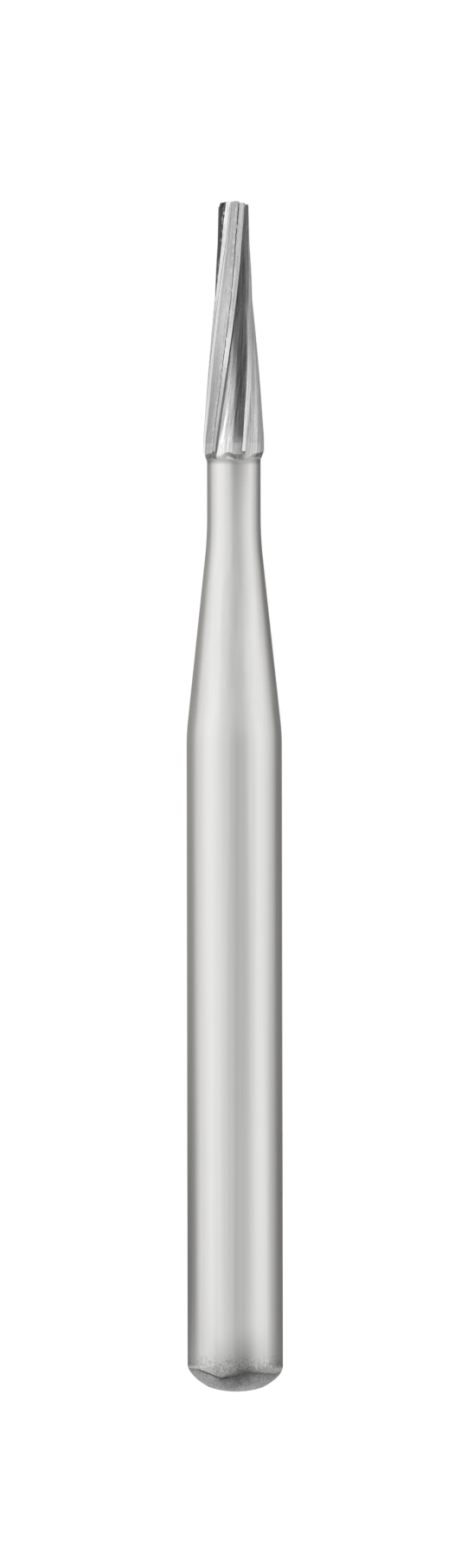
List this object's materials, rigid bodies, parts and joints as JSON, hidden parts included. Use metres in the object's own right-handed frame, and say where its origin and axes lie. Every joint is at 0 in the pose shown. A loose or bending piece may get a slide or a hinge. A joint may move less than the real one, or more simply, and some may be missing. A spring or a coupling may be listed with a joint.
{
  "type": "dental bur",
  "caption": "Tapered fissure dental bur: helically fluted carbide head on a turned steel friction-grip shank, for a high-speed handpiece.",
  "frame": {"origin": "on the axis, at the rear end of the cylindrical shank wall, where the rounded end begins", "axes": "+Z along the axis towards the cutting tip; -Y is the side that the picture shows"},
  "size_m": [0.0016, 0.0016, 0.02],
  "materials": {
    "stainless_steel": "satin, turned and polished along the axis",
    "tungsten_carbide": "ground, with fine grinding lines along the flutes"
  },
  "bodies": {
    "root": {"steel_shank": "stainless_steel", "carbide_head": "tungsten_carbide"}
  },
  "joints": []
}
